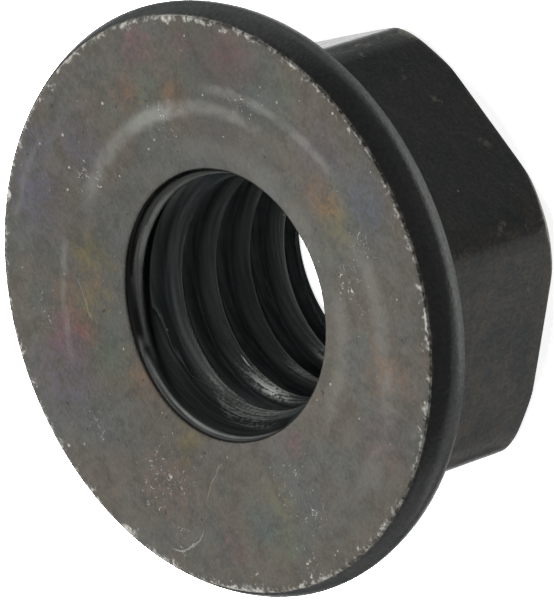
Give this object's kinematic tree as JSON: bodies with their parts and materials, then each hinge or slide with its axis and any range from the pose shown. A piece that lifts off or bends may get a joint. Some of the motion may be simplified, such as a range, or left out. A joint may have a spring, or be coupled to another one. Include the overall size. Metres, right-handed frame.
{
  "type": "hexagon flange nut",
  "caption": "Steel hexagon nut with a round, smooth-faced flange and a coarse tapped through hole, in a worn dark satin finish.",
  "frame": {"origin": "centre of the hexagon end, which the nut stands on", "axes": "+Z along the thread from the hexagon end to the bearing face; two of the six flats face +Y and -Y, and two corners lie along +X and -X"},
  "size_m": [0.0172, 0.0172, 0.0071],
  "materials": {
    "black_finished_steel": "satin black conversion coating, rubbed to grey on the bearing face and its edges"
  },
  "bodies": {
    "root": {"flange_nut": "black_finished_steel"}
  },
  "joints": []
}
